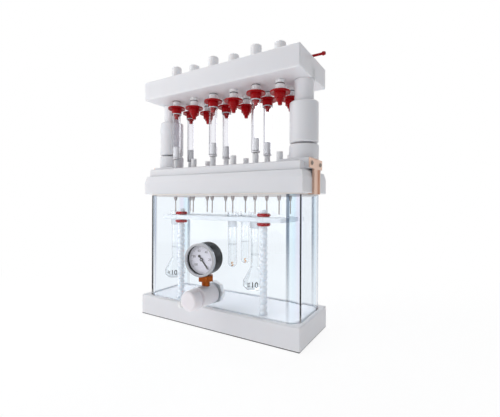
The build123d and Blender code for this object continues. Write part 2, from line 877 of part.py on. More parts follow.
# ---------------------------------------------------------------- vacuum valve
valve_plane = Plane(origin=(0, glass_front, valve_height), x_dir=(1, 0, 0), z_dir=(0, -1, 0))
nipple_direction = (-cos(radians(nipple_angle)), 0, -sin(radians(nipple_angle)))
nipple_plane = Plane(
    origin=(0, nipple_y, valve_height), x_dir=(0, 1, 0), z_dir=nipple_direction
)
with BuildPart() as valve_body:
    with BuildSketch(valve_plane):
        Circle(valve_diameter / 2)
    extrude(amount=valve_length)
    chamfer(valve_body.edges(), valve_edge)
    with BuildSketch(valve_plane.offset(valve_length)):
        Circle(valve_neck_diameter / 2)
    extrude(amount=valve_neck_length)
    thread_length = glass_wall + valve_nut_thickness + valve_thread_end
    with BuildSketch(valve_plane):
        Circle(valve_thread_diameter / 2)
    extrude(amount=-thread_length)
    with BuildSketch(valve_plane.offset(-thread_length)):
        Circle(valve_bore / 2)
    extrude(amount=thread_length + valve_bore_depth, mode=Mode.SUBTRACT)
    with BuildSketch(valve_plane.offset(valve_length + valve_neck_length)):
        Circle(bleed_stem_diameter / 2 + bleed_stem_clearance)
    extrude(amount=-bleed_stem_length - bleed_knob_gap, mode=Mode.SUBTRACT)
    with BuildSketch(Plane.XY.offset(valve_height)):
        with Locations((0, gauge_y)):
            Circle(socket_thread_diameter / 2)
    extrude(amount=valve_diameter, mode=Mode.SUBTRACT)
    with BuildSketch(nipple_plane.offset(nipple_root)):
        Circle(nipple_diameter / 2)
    extrude(amount=valve_diameter, mode=Mode.SUBTRACT)
save(valve_body.part, "valve_body")

with BuildPart() as valve_nut:
    with BuildSketch(valve_plane.offset(-glass_wall)):
        RegularPolygon(valve_nut_diameter / 2, 8)
        Circle(valve_thread_diameter / 2, mode=Mode.SUBTRACT)
    extrude(amount=-valve_nut_thickness)
save(valve_nut.part, "valve_nut")

with BuildPart() as bleed_knob:
    with BuildSketch(valve_plane.offset(glass_front - knob_back)):
        Circle(bleed_knob_diameter / 2)
    extrude(amount=bleed_knob_length)
    front_rim = bleed_knob.edges().sort_by(Axis.Y)[0]
    fillet(front_rim, bleed_knob_edge)
    back_rim = bleed_knob.edges().sort_by(Axis.Y)[-1]
    chamfer(back_rim, valve_edge)
    with BuildSketch(valve_plane.offset(glass_front - knob_back)):
        Circle(bleed_stem_diameter / 2)
    extrude(amount=-bleed_stem_length)
save(bleed_knob.part, "bleed_knob")

# Barbed nipple for the vacuum hose, let into the valve body at its lower left
barb_start = nipple_reach - nipple_barbs * nipple_barb_pitch
barb_outline = [(nipple_bore / 2, nipple_root), (nipple_diameter / 2, nipple_root)]
valve_wall = valve_diameter / 2 + valve_edge
barb_outline.append((nipple_diameter / 2, valve_wall))
barb_outline.append((nipple_collar_diameter / 2, valve_wall))
barb_outline.append((nipple_collar_diameter / 2, valve_wall + nipple_collar_thickness))
barb_outline.append((nipple_diameter / 2, valve_wall + nipple_collar_thickness))
for barb in range(nipple_barbs):
    level = barb_start + barb * nipple_barb_pitch
    barb_outline.append((nipple_diameter / 2, level))
    barb_outline.append((nipple_barb_diameter / 2, level))
    barb_outline.append((nipple_barb_diameter / 2, level + nipple_barb_land))
barb_outline.append((nipple_diameter / 2, nipple_reach))
barb_outline.append((nipple_bore / 2, nipple_reach))
nipple = nipple_plane * turned(barb_outline)
with BuildPart() as hose_nipple:
    add(nipple)
save(hose_nipple.part, "hose_nipple")

# ---------------------------------------------------------------- vacuum gauge
gauge_normal = (sin(radians(gauge_turn)), -cos(radians(gauge_turn)), 0)
gauge_plane = Plane(
    origin=(0, gauge_y, gauge_z),
    x_dir=(cos(radians(gauge_turn)), sin(radians(gauge_turn)), 0),
    z_dir=gauge_normal,
)
shank_top = gauge_z - case_diameter / 2 + socket_shank_entry
with BuildPart() as gauge_case:
    with BuildSketch(gauge_plane.offset(-case_behind)):
        Circle(case_diameter / 2)
    extrude(amount=case_behind + case_front)
    back_rim = gauge_case.edges().sort_by(Axis(gauge_plane.origin, gauge_normal))[0]
    fillet(back_rim, case_edge)
    with BuildSketch(gauge_plane.offset(case_front)):
        Circle(bezel_opening / 2 + lens_clearance + lens_thickness)
    extrude(amount=-dial_recess, mode=Mode.SUBTRACT)
    with BuildSketch(Plane.XY.offset(shank_top)):
        with Locations((0, gauge_y)):
            Circle(socket_shank_diameter / 2)
    extrude(amount=-case_diameter / 2, mode=Mode.SUBTRACT)
save(gauge_case.part, "gauge_case")

dial_back = case_front - dial_recess
with BuildPart() as gauge_dial:
    with BuildSketch(gauge_plane.offset(dial_back)):
        Circle(bezel_opening / 2 + lens_clearance)
    extrude(amount=dial_thickness)
    with BuildSketch(gauge_plane.offset(dial_back + dial_thickness)):
        Circle(pointer_axle_diameter / 2)
    extrude(amount=pointer_gap + pointer_hub_thickness)
save(gauge_dial.part, "gauge_dial")

# Pointer, with its tail disc and hub, turned down to the zero of a vacuum scale
pointer_back = dial_back + dial_thickness + pointer_gap
with BuildPart() as gauge_pointer:
    with BuildSketch(gauge_plane.offset(pointer_back)):
        with BuildLine(Rot(0, 0, pointer_zero_angle)):
            Polyline(
                (-pointer_tail, -pointer_width / 2),
                (pointer_length - pointer_width, -pointer_width / 2),
                (pointer_length, 0),
                (pointer_length - pointer_width, pointer_width / 2),
                (-pointer_tail, pointer_width / 2),
                close=True,
            )
        make_face()
        with Locations(Rot(0, 0, pointer_zero_angle)):
            with Locations((-pointer_tail, 0)):
                Circle(pointer_tail_diameter / 2)
    extrude(amount=pointer_thickness)
    with BuildSketch(gauge_plane.offset(pointer_back)):
        Circle(pointer_hub_diameter / 2)
    extrude(amount=pointer_hub_thickness)
    with BuildSketch(gauge_plane.offset(pointer_back)):
        Circle(pointer_axle_diameter / 2 + pointer_axle_clearance)
    extrude(amount=pointer_hub_thickness, mode=Mode.SUBTRACT)
save(gauge_pointer.part, "gauge_pointer")

with BuildPart() as gauge_lens:
    with BuildSketch(gauge_plane.offset(case_front)):
        Circle(bezel_opening / 2 + lens_clearance)
    extrude(amount=lens_thickness)
save(gauge_lens.part, "gauge_lens")

with BuildPart() as gauge_bezel:
    with BuildSketch(gauge_plane.offset(case_front)):
        Circle(bezel_diameter / 2)
    extrude(amount=bezel_depth)
    fillet(gauge_bezel.edges().sort_by(Axis(gauge_plane.origin, gauge_normal))[-1], bezel_edge)
    with BuildSketch(gauge_plane.offset(case_front)):
        Circle(bezel_opening / 2)
    extrude(amount=bezel_depth, mode=Mode.SUBTRACT)
    with BuildSketch(gauge_plane.offset(case_front)):
        Circle(bezel_opening / 2 + lens_clearance)
    extrude(amount=lens_thickness, mode=Mode.SUBTRACT)
save(gauge_bezel.part, "gauge_bezel")

# Brass socket: shank in the case, hexagon below it, thread in the valve body
with BuildPart() as gauge_socket:
    with BuildSketch(Plane.XY.offset(hex_bottom)):
        with Locations((0, gauge_y)):
            RegularPolygon(socket_hex / 2, 6, major_radius=False, rotation=gauge_turn)
    extrude(amount=socket_hex_height)
    with BuildSketch(Plane.XY.offset(hex_top)):
        with Locations((0, gauge_y)):
            Circle(socket_shank_diameter / 2)
    extrude(amount=shank_top - hex_top)
    with BuildSketch(Plane.XY.offset(hex_bottom)):
        with Locations((0, gauge_y)):
            Circle(socket_thread_diameter / 2)
    extrude(amount=valve_crown - socket_thread_entry - hex_bottom)
save(gauge_socket.part, "gauge_socket")
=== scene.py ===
import bmesh
import bpy
from math import cos, pi, radians, sin
from mathutils import Matrix, Vector
from mathutils.bvhtree import BVHTree


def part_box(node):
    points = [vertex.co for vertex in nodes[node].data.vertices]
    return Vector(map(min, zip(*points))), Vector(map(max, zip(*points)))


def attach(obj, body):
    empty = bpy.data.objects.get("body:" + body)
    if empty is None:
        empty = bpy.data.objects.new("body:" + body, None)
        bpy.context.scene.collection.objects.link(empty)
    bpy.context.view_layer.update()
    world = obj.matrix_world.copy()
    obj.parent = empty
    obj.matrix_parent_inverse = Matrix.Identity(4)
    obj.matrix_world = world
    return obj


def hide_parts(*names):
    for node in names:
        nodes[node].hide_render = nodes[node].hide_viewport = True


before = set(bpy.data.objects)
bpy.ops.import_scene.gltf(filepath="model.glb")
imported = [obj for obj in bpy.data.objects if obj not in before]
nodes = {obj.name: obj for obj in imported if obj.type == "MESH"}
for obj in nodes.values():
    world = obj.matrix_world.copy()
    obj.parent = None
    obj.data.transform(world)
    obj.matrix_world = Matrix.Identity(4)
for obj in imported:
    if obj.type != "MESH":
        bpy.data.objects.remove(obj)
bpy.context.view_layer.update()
print("manifold loaded:", len(nodes), "nodes")

# ports run left to right in a front and a back row
stations = {"columns": 6, "pitch": 0.0331, "rows": {"front": -0.0155, "back": 0.0155},
            "loaded": (0, 2, 4)}
gaugeLook = {"centre": (0.0, -0.05, 0.0906), "turn": 9.0, "axle": 0.0015,
             "printLift": 0.00004}


def stationX(column):
    return (column - (stations["columns"] - 1) / 2) * stations["pitch"]


def addObject(name, data):
    thing = bpy.data.objects.new(name, data)
    bpy.context.scene.collection.objects.link(thing)
    return thing


# ---- camera, level, from below the middle of the top plate
cameraView = {"place": (0.2517, -0.3639, 0.1587), "turnDeg": 31.05, "rollRad": 0.005,
              "lens": 23.41, "sensor": 36.0, "shiftY": -0.01126}


def placeCamera(view):
    turn = radians(view["turnDeg"])
    look = Vector((-sin(turn), cos(turn), 0.0))
    side = Vector((cos(turn), sin(turn), 0.0))
    up = Vector((0.0, 0.0, 1.0))
    c, s = cos(view["rollRad"]), sin(view["rollRad"])
    sideRolled = side * c + up * s
    upRolled = up * c - side * s
    data = bpy.data.cameras.new("studioCamera")
    data.lens = view["lens"]
    data.sensor_width = view["sensor"]
    data.shift_y = view["shiftY"]
    data.clip_start = 0.01
    data.clip_end = 50
    camera = addObject("studioCamera", data)
    axes = Matrix((sideRolled, upRolled, -look)).transposed().to_4x4()
    camera.matrix_world = Matrix.Translation(view["place"]) @ axes
    bpy.context.scene.camera = camera


placeCamera(cameraView)
print("camera placed")


# ---- shader groups shared by the finishes
def newGroup(name, inputs, outputs):
    group = bpy.data.node_groups.new(name, "ShaderNodeTree")
    for label, kind, value in inputs:
        socket = group.interface.new_socket(name=label, in_out="INPUT", socket_type=kind)
        socket.default_value = value
    for label, kind in outputs:
        group.interface.new_socket(name=label, in_out="OUTPUT", socket_type=kind)
    return group, group.nodes.new("NodeGroupInput"), group.nodes.new("NodeGroupOutput")


def feed(tree, slot, value):
    # another node's output is linked, a plain value is set
    if isinstance(value, bpy.types.NodeSocket):
        tree.links.new(value, slot)
    else:
        slot.default_value = value


def mathNode(tree, operation, a, b=None, clamp=False, c=None):
    node = tree.nodes.new("ShaderNodeMath")
    node.operation = operation
    node.use_clamp = clamp
    for slot, value in zip(node.inputs, (a, b, c)):
        if value is not None:
            feed(tree, slot, value)
    return node.outputs[0]


def joinParts(tree, x=0.0, y=0.0, z=0.0):
    node = tree.nodes.new("ShaderNodeCombineXYZ")
    for slot, value in zip(node.inputs, (x, y, z)):
        feed(tree, slot, value)
    return node.outputs[0]


def blendColours(tree, factor, first, second):
    # the colour sockets of a Mix node are its inputs 6 and 7 and its output 2
    node = tree.nodes.new("ShaderNodeMix")
    node.data_type = "RGBA"
    for slot, value in ((0, factor), (6, first), (7, second)):
        feed(tree, node.inputs[slot], value)
    return node.outputs[2]


def mixSurface(tree, factor, first, second):
    mix = tree.nodes.new("ShaderNodeMixShader")
    for slot, value in zip(mix.inputs, (factor, first.outputs[0], second.outputs[0])):
        tree.links.new(value, slot)
    tree.links.new(mix.outputs[0], tree.nodes["Material Output"].inputs["Surface"])


def makeEdgeHighlight():
    # painted highlight: rounded corners are painted lighter where they would catch the light,
    # found where the bevelled normal leaves the true one
    group, gin, gout = newGroup(
        "paintedEdgeHighlight",
        [("Width", "NodeSocketFloat", 0.0008), ("Strength", "NodeSocketFloat", 1.0),
         ("Breakup Scale", "NodeSocketFloat", 180.0)],
        [("Mask", "NodeSocketFloat"), ("Normal", "NodeSocketVector")])
    bevel = group.nodes.new("ShaderNodeBevel")
    bevel.samples = 4
    geometry = group.nodes.new("ShaderNodeNewGeometry")
    dot = group.nodes.new("ShaderNodeVectorMath")
    dot.operation = "DOT_PRODUCT"
    group.links.new(gin.outputs["Width"], bevel.inputs["Radius"])
    group.links.new(bevel.outputs[0], dot.inputs[0])
    group.links.new(geometry.outputs["Normal"], dot.inputs[1])
    away = mathNode(group, "SUBTRACT", 1.0, dot.outputs["Value"], True)
    sharp = mathNode(group, "MULTIPLY", away, 6.0, True)
    where = group.nodes.new("ShaderNodeTexCoord")
    noise = group.nodes.new("ShaderNodeTexNoise")
    group.links.new(where.outputs["Object"], noise.inputs["Vector"])
    group.links.new(gin.outputs["Breakup Scale"], noise.inputs["Scale"])
    broken = mathNode(group, "MULTIPLY", sharp, noise.outputs[0])
    group.links.new(mathNode(group, "MULTIPLY", broken, gin.outputs["Strength"], True),
                    gout.inputs["Mask"])
    group.links.new(bevel.outputs[0], gout.inputs["Normal"])
    return group


def makeFineGrain():
    # two noises: broad clouds for colour, a close grain for roughness and bump
    group, gin, gout = newGroup(
        "fineGrain",
        [("Cloud Scale", "NodeSocketFloat", 18.0), ("Grain Scale", "NodeSocketFloat", 900.0),
         ("Stretch", "NodeSocketVector", (1.0, 1.0, 1.0))],
        [("Cloud", "NodeSocketFloat"), ("Grain", "NodeSocketFloat")])
    where = group.nodes.new("ShaderNodeTexCoord")
    stretch = group.nodes.new("ShaderNodeVectorMath")
    stretch.operation = "MULTIPLY"
    group.links.new(where.outputs["Object"], stretch.inputs[0])
    group.links.new(gin.outputs["Stretch"], stretch.inputs[1])
    for label, scaleName, source, detail in (("Cloud", "Cloud Scale", where.outputs["Object"], 3),
                                             ("Grain", "Grain Scale", stretch.outputs[0], 2)):
        noise = group.nodes.new("ShaderNodeTexNoise")
        noise.inputs["Detail"].default_value = detail
        group.links.new(source, noise.inputs["Vector"])
        group.links.new(gin.outputs[scaleName], noise.inputs["Scale"])
        group.links.new(noise.outputs[0], gout.inputs[label])
    return group


def makeDust():
    # a little dust and haze, more on faces that look up
    group, gin, gout = newGroup(
        "restingDust",
        [("Amount", "NodeSocketFloat", 0.1), ("Patch Scale", "NodeSocketFloat", 60.0)],
        [("Mask", "NodeSocketFloat")])
    geometry = group.nodes.new("ShaderNodeNewGeometry")
    split = group.nodes.new("ShaderNodeSeparateXYZ")
    where = group.nodes.new("ShaderNodeTexCoord")
    noise = group.nodes.new("ShaderNodeTexNoise")
    noise.inputs["Detail"].default_value = 4
    group.links.new(geometry.outputs["Normal"], split.inputs[0])
    group.links.new(where.outputs["Object"], noise.inputs["Vector"])
    group.links.new(gin.outputs["Patch Scale"], noise.inputs["Scale"])
    upward = mathNode(group, "MAXIMUM", split.outputs["Z"], 0.15)
    patchy = mathNode(group, "MULTIPLY", upward, noise.outputs[0])
    group.links.new(mathNode(group, "MULTIPLY", patchy, gin.outputs["Amount"], True),
                    gout.inputs["Mask"])
    return group


paintedEdgeHighlight = makeEdgeHighlight()
fineGrain = makeFineGrain()
restingDust = makeDust()


def startFinish(name):
    finish = bpy.data.materials.new(name)
    finish.use_nodes = True
    tree = finish.node_tree
    shader = tree.nodes["Principled BSDF"]
    return finish, tree, shader


def addGroup(tree, group, **values):
    node = tree.nodes.new("ShaderNodeGroup")
    node.node_tree = group
    for label, value in values.items():
        node.inputs[label.replace("_", " ")].default_value = value
    return node


def spread(tree, value, low, high):
    node = tree.nodes.new("ShaderNodeMapRange")
    tree.links.new(value, node.inputs["Value"])
    node.inputs["To Min"].default_value = low
    node.inputs["To Max"].default_value = high
    return node.outputs[0]


def placeParts(tree):
    # X, Y and Z of the point on the piece
    where = tree.nodes.new("ShaderNodeTexCoord")
    split = tree.nodes.new("ShaderNodeSeparateXYZ")
    tree.links.new(where.outputs["Object"], split.inputs[0])
    return split.outputs


def addBump(tree, shader, height, strength, distance, under=None):
    bump = tree.nodes.new("ShaderNodeBump")
    bump.inputs["Strength"].default_value = strength
    bump.inputs["Distance"].default_value = distance
    tree.links.new(height, bump.inputs["Height"])
    if under is not None:
        tree.links.new(under, bump.inputs["Normal"])
    tree.links.new(bump.outputs[0], shader.inputs["Normal"])


def dustAndPaintedLightSurface(name, look, bumpDistance):
    # plastic and metal alike: cloudy body colour, tool marks, a painted highlight on the corners,
    # dust, and where asked a painted contact shade on the lowest edge
    finish, tree, shader = startFinish(name)
    grain = addGroup(tree, fineGrain, Cloud_Scale=look["cloudScale"],
                     Grain_Scale=look["grainScale"], Stretch=look["stretch"])
    paintedHighlight = addGroup(tree, paintedEdgeHighlight, Width=look["edgeWidth"],
                    Strength=look.get("edgeStrength", 1.0))
    dust = addGroup(tree, restingDust, Amount=look["dust"])
    body = blendColours(tree, grain.outputs["Cloud"], look["colour"], look["cloudColour"])
    # painted highlight: the corners take the lighter edge colour
    edged = blendColours(tree, paintedHighlight.outputs["Mask"], body, look["edgeColour"])
    dustedAndShaded = blendColours(tree, dust.outputs["Mask"], edged,
                          look.get("dustColour", (0.5, 0.48, 0.46, 1)))
    if look.get("contactShadeTo"):
        # painted shade: the lowest edge, where the block meets the bench, is painted dark as a
        # contact shadow
        low = mathNode(tree, "LESS_THAN", placeParts(tree)["Z"], look["contactShadeTo"])
        dustedAndShaded = blendColours(tree, low, dustedAndShaded, look["contactShadeColour"])
    tree.links.new(dustedAndShaded, shader.inputs["Base Color"])
    tree.links.new(spread(tree, grain.outputs["Grain"], *look["roughness"]),
                   shader.inputs["Roughness"])
    shader.inputs["Specular IOR Level"].default_value = look.get("shine", 0.5)
    addBump(tree, shader, grain.outputs["Grain"], look["bump"], bumpDistance,
            paintedHighlight.outputs["Normal"])
    return finish, shader


def polymerFinish(name, look):
    # machined or moulded plastic, a little milky under its surface
    finish, shader = dustAndPaintedLightSurface(name, look, 0.0002)
    shader.inputs["IOR"].default_value = 1.48
    shader.inputs["Subsurface Weight"].default_value = look["milky"]
    shader.inputs["Subsurface Radius"].default_value = (1.0, 0.9, 0.85)
    shader.inputs["Subsurface Scale"].default_value = look["depth"]
    return finish


def metalFinish(name, look):
    # brushed or polished metal; "metallic" 0 is for a black lacquer
    finish, shader = dustAndPaintedLightSurface(name, look, 0.0001)
    shader.inputs["Metallic"].default_value = look["metallic"]
    return finish


whiteLook = {"colour": (0.80, 0.80, 0.83, 1), "cloudColour": (0.83, 0.83, 0.86, 1),
             "edgeColour": (0.93, 0.93, 0.96, 1), "dustColour": (0.86, 0.85, 0.83, 1),
             "cloudScale": 14.0, "grainScale": 260.0, "stretch": (0.6, 6.0, 6.0),
             "edgeWidth": 0.0009, "edgeStrength": 1.0, "dust": 0.1,
             "roughness": (0.32, 0.5), "bump": 0.08, "milky": 0.6, "depth": 0.006}
milledWhite = polymerFinish("milledWhite", whiteLook)
# the base block carries a painted contact shadow along its lowest edge
baseWhite = polymerFinish("baseWhite", {
    **whiteLook, "contactShadeTo": 0.0016, "contactShadeColour": (0.05, 0.05, 0.055, 1)})
turnedWhite = polymerFinish("turnedWhite", {
    **whiteLook, "stretch": (0.6, 0.6, 9.0), "grainScale": 300.0})
mouldedWhite = polymerFinish("mouldedWhite", {
    **whiteLook, "colour": (0.88, 0.88, 0.9, 1), "cloudColour": (0.92, 0.92, 0.94, 1),
    "stretch": (1.0, 1.0, 1.0), "grainScale": 700.0, "bump": 0.05, "roughness": (0.22, 0.34),
    "edgeWidth": 0.0005, "milky": 0.5})
tintedWhite = polymerFinish("tintedWhite", {
    **whiteLook, "colour": (0.9, 0.86, 0.89, 1), "cloudColour": (0.92, 0.88, 0.92, 1),
    "stretch": (1.0, 1.0, 1.0), "grainScale": 500.0, "bump": 0.06, "roughness": (0.25, 0.38),
    "milky": 0.5})
# painted shade: the rack gets a darker, bluer copy of the white plastic, for its shaded look
# inside the chamber
rackShadedWhite = polymerFinish("rackShadedWhite", {
    **whiteLook, "colour": (0.7, 0.72, 0.75, 1), "cloudColour": (0.76, 0.78, 0.81, 1),
    "stretch": (0.6, 0.6, 9.0), "grainScale": 300.0, "edgeStrength": 0.15, "bump": 0.05,
    "dust": 0.02})
glossyRed = polymerFinish("glossyRed", {
    "colour": (0.31, 0.0, 0.003, 1), "cloudColour": (0.4, 0.001, 0.005, 1),
    "edgeColour": (0.6, 0.02, 0.02, 1), "dustColour": (0.45, 0.1, 0.1, 1), "cloudScale": 60.0,
    "grainScale": 500.0, "stretch": (1.0, 1.0, 4.0), "edgeWidth": 0.0003, "edgeStrength": 0.5,
    "dust": 0.0, "roughness": (0.3, 0.42), "bump": 0.05, "milky": 0.0, "depth": 0.001,
    "shine": 0.22})
siliconeBeige = polymerFinish("siliconeBeige", {
    "colour": (0.85, 0.78, 0.74, 1), "cloudColour": (0.9, 0.84, 0.8, 1),
    "edgeColour": (0.9, 0.84, 0.8, 1), "dustColour": (0.75, 0.7, 0.65, 1), "cloudScale": 40.0,
    "grainScale": 900.0, "stretch": (1.0, 1.0, 1.0), "edgeWidth": 0.0004, "edgeStrength": 0.6,
    "dust": 0.2, "roughness": (0.5, 0.7), "bump": 0.1, "milky": 0.2, "depth": 0.001})
stemRingBlack = polymerFinish("stemRingBlack", {
    "colour": (0.012, 0.012, 0.014, 1), "cloudColour": (0.03, 0.03, 0.034, 1),
    "edgeColour": (0.08, 0.08, 0.09, 1), "dustColour": (0.3, 0.3, 0.3, 1), "cloudScale": 80.0,
    "grainScale": 1200.0, "stretch": (1.0, 1.0, 1.0), "edgeWidth": 0.0002,
    "edgeStrength": 0.5, "dust": 0.1, "roughness": (0.35, 0.55), "bump": 0.08, "milky": 0.0,
    "depth": 0.001})
sorbentPowder = polymerFinish("sorbentPowder", {
    "colour": (0.84, 0.85, 0.86, 1), "cloudColour": (0.93, 0.94, 0.93, 1),
    "edgeColour": (0.85, 0.85, 0.85, 1), "dustColour": (0.8, 0.8, 0.8, 1),
    "cloudScale": 600.0, "grainScale": 2600.0, "stretch": (1.0, 1.0, 1.0),
    "edgeWidth": 0.0002, "edgeStrength": 0.0, "dust": 0.0, "roughness": (0.8, 0.95),
    "bump": 0.5, "milky": 0.0, "depth": 0.001})
poreWhite = polymerFinish("poreWhite", {
    "colour": (0.72, 0.72, 0.74, 1), "cloudColour": (0.88, 0.88, 0.88, 1),
    "edgeColour": (0.9, 0.9, 0.9, 1), "dustColour": (0.9, 0.9, 0.9, 1), "cloudScale": 900.0,
    "grainScale": 3000.0, "stretch": (1.0, 1.0, 1.0), "edgeWidth": 0.0002,
    "edgeStrength": 0.0, "dust": 0.0, "roughness": (0.7, 0.9), "bump": 0.3, "milky": 0.0,
    "depth": 0.001})

needleSteel = metalFinish("needleSteel", {
    "colour": (0.36, 0.31, 0.3, 1), "cloudColour": (0.46, 0.41, 0.4, 1),
    "edgeColour": (0.6, 0.56, 0.55, 1), "cloudScale": 90.0, "grainScale": 600.0,
    "stretch": (1.0, 1.0, 0.1), "edgeWidth": 0.0002, "dust": 0.02, "roughness": (0.22, 0.36),
    "bump": 0.04, "metallic": 0.7})
clipSteel = metalFinish("clipSteel", {
    "colour": (0.62, 0.4, 0.3, 1), "cloudColour": (0.72, 0.52, 0.42, 1),
    "edgeColour": (0.9, 0.8, 0.74, 1), "cloudScale": 30.0, "grainScale": 500.0,
    "stretch": (1.0, 1.0, 0.05), "edgeWidth": 0.0003, "dust": 0.04, "roughness": (0.25, 0.4),
    "bump": 0.05, "metallic": 0.85})
screwSteel = metalFinish("screwSteel", {
    "colour": (0.2, 0.17, 0.15, 1), "cloudColour": (0.3, 0.26, 0.23, 1),
    "edgeColour": (0.6, 0.55, 0.5, 1), "cloudScale": 60.0, "grainScale": 700.0,
    "stretch": (1.0, 1.0, 3.0), "edgeWidth": 0.0002, "dust": 0.03, "roughness": (0.25, 0.4),
    "bump": 0.06, "metallic": 0.8})
darkSteel = metalFinish("darkSteel", {
    "colour": (0.035, 0.035, 0.04, 1), "cloudColour": (0.06, 0.06, 0.065, 1),
    "edgeColour": (0.2, 0.2, 0.21, 1), "cloudScale": 60.0, "grainScale": 700.0,
    "stretch": (1.0, 1.0, 3.0), "edgeWidth": 0.0003, "dust": 0.05, "roughness": (0.3, 0.45),
    "bump": 0.06, "metallic": 0.8})
bezelChrome = metalFinish("bezelChrome", {
    "colour": (0.4, 0.41, 0.44, 1), "cloudColour": (0.5, 0.51, 0.54, 1),
    "edgeColour": (0.85, 0.86, 0.9, 1), "cloudScale": 40.0, "grainScale": 400.0,
    "stretch": (1.0, 8.0, 1.0), "edgeWidth": 0.0004, "dust": 0.02, "roughness": (0.08, 0.16),
    "bump": 0.02, "metallic": 1.0})
caseBlack = metalFinish("caseBlack", {
    "colour": (0.004, 0.004, 0.005, 1), "cloudColour": (0.01, 0.01, 0.011, 1),
    "edgeColour": (0.06, 0.06, 0.06, 1), "cloudScale": 50.0, "grainScale": 900.0,
    "stretch": (1.0, 1.0, 1.0), "edgeWidth": 0.0005, "dust": 0.0, "roughness": (0.34, 0.46),
    "bump": 0.05, "metallic": 0.0, "shine": 0.2})
socketBrass = metalFinish("socketBrass", {
    "colour": (0.24, 0.05, 0.008, 1), "cloudColour": (0.36, 0.09, 0.018, 1),
    "edgeColour": (0.85, 0.4, 0.15, 1), "cloudScale": 70.0, "grainScale": 500.0,
    "stretch": (1.0, 1.0, 5.0), "edgeWidth": 0.0005, "dust": 0.03, "roughness": (0.2, 0.34),
    "bump": 0.06, "metallic": 1.0})


def paintedCornerRefraction(tree, look):
    # painted refraction: light, bluish and dark lines run up the rounded corners in place of the
    # bent view through the thick glass, strongest near the rim
    place = placeParts(tree)
    along = []
    for axis, middle in (("X", look["cornerX"]), ("Y", look["cornerY"])):
        size = mathNode(tree, "ABSOLUTE", place[axis])
        along.append(mathNode(tree, "MAXIMUM", mathNode(tree, "SUBTRACT", size, middle), 0.0))
    inCorner = mathNode(tree, "GREATER_THAN", mathNode(tree, "MULTIPLY", *along), 0.0)
    turn = mathNode(tree, "ARCTAN2", along[1], along[0])
    ramp = tree.nodes.new("ShaderNodeValToRGB")
    tree.links.new(mathNode(tree, "DIVIDE", turn, pi / 2), ramp.inputs[0])
    stops = ramp.color_ramp.elements
    while len(stops) < len(look["refractionLines"]):
        stops.new(0.5)
    for stop, (spot, colour) in zip(stops, look["refractionLines"]):
        stop.position = spot
        stop.color = colour
    rise = tree.nodes.new("ShaderNodeMapRange")
    rise.inputs["From Min"].default_value = look["fade"][0]
    rise.inputs["From Max"].default_value = look["fade"][1]
    rise.inputs["To Min"].default_value = look["fadeLow"]
    tree.links.new(place["Z"], rise.inputs["Value"])
    return mathNode(tree, "MULTIPLY", inCorner, rise.outputs[0]), ramp.outputs[0]


def glassFinish(name, look):
    # clear wall: painted shade makes it darker and bluer where it is seen edge on, painted
    # refraction lines may run up its corners, with faint smears; bands of its height may be
    # ground or milky, and light passes through to what is behind
    finish, tree, shader = startFinish(name)
    # painted shade: the wall colour turns darker and bluer the more edge on it is seen
    facing = tree.nodes.new("ShaderNodeLayerWeight")
    facing.inputs["Blend"].default_value = look["edgeBlend"]
    edge = mathNode(tree, "POWER", facing.outputs["Facing"], look["edgePower"], True)
    colour = blendColours(tree, edge, look["colour"], look["edgeColour"])
    grain = addGroup(tree, fineGrain, Cloud_Scale=look["smearScale"], Grain_Scale=400.0,
                     Stretch=(1.0, 1.0, 0.2))
    smear = spread(tree, grain.outputs["Cloud"], look["roughness"][0], look["roughness"][1])
    if look.get("refractionLines"):
        # painted refraction lines tint the wall colour at the corners
        mask, refractionTint = paintedCornerRefraction(tree, look)
        colour = blendColours(tree, mask, colour, refractionTint)
    for low, high, bandColour, bandRough in look.get("bands", ()):
        level = placeParts(tree)["Z"]
        above = mathNode(tree, "GREATER_THAN", level, low)
        below = mathNode(tree, "LESS_THAN", level, high)
        band = mathNode(tree, "MULTIPLY", above, below)
        smear = mathNode(tree, "MAXIMUM", smear, mathNode(tree, "MULTIPLY", band, bandRough))
        colour = blendColours(tree, band, colour, bandColour)
    tree.links.new(colour, shader.inputs["Base Color"])
    tree.links.new(smear, shader.inputs["Roughness"])
    shader.inputs["Transmission Weight"].default_value = look["clear"]
    shader.inputs["IOR"].default_value = look["ior"]
    addBump(tree, shader, grain.outputs["Cloud"], look["ripple"], 0.0004)
    path = tree.nodes.new("ShaderNodeLightPath")
    passing = tree.nodes.new("ShaderNodeBsdfTransparent")
    passing.inputs["Color"].default_value = look["shadow"]
    mixSurface(tree, path.outputs["Is Shadow Ray"], shader, passing)
    return finish


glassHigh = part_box("glass_chamber")[1]
clearWall = (0.94, 0.968, 0.992, 1)
cornerRadius = 0.014
chamberGlass = glassFinish("chamberGlass", {
    "colour": clearWall, "edgeColour": (0.55, 0.62, 0.7, 1), "edgeBlend": 0.5,
    "edgePower": 2.2, "smearScale": 22.0, "roughness": (0.0, 0.01), "clear": 1.0,
    "ior": 1.2, "ripple": 0.03, "shadow": (0.98, 0.99, 1.0, 1),
    "cornerX": glassHigh.x - cornerRadius, "cornerY": glassHigh.y - cornerRadius,
    "refractionLines": ((0.0, (0.8, 0.83, 0.9, 1)), (0.1, (0.78, 0.79, 0.9, 1)),
                (0.35, (0.82, 0.82, 0.93, 1)), (0.55, (0.72, 0.86, 0.95, 1)),
                (0.8, (0.8, 0.92, 0.98, 1)), (0.88, (0.4, 0.48, 0.58, 1)),
                (0.94, (0.08, 0.11, 0.16, 1)), (1.0, (0.1, 0.13, 0.18, 1))),
    "fade": (0.03, 0.12), "fadeLow": 0.25})
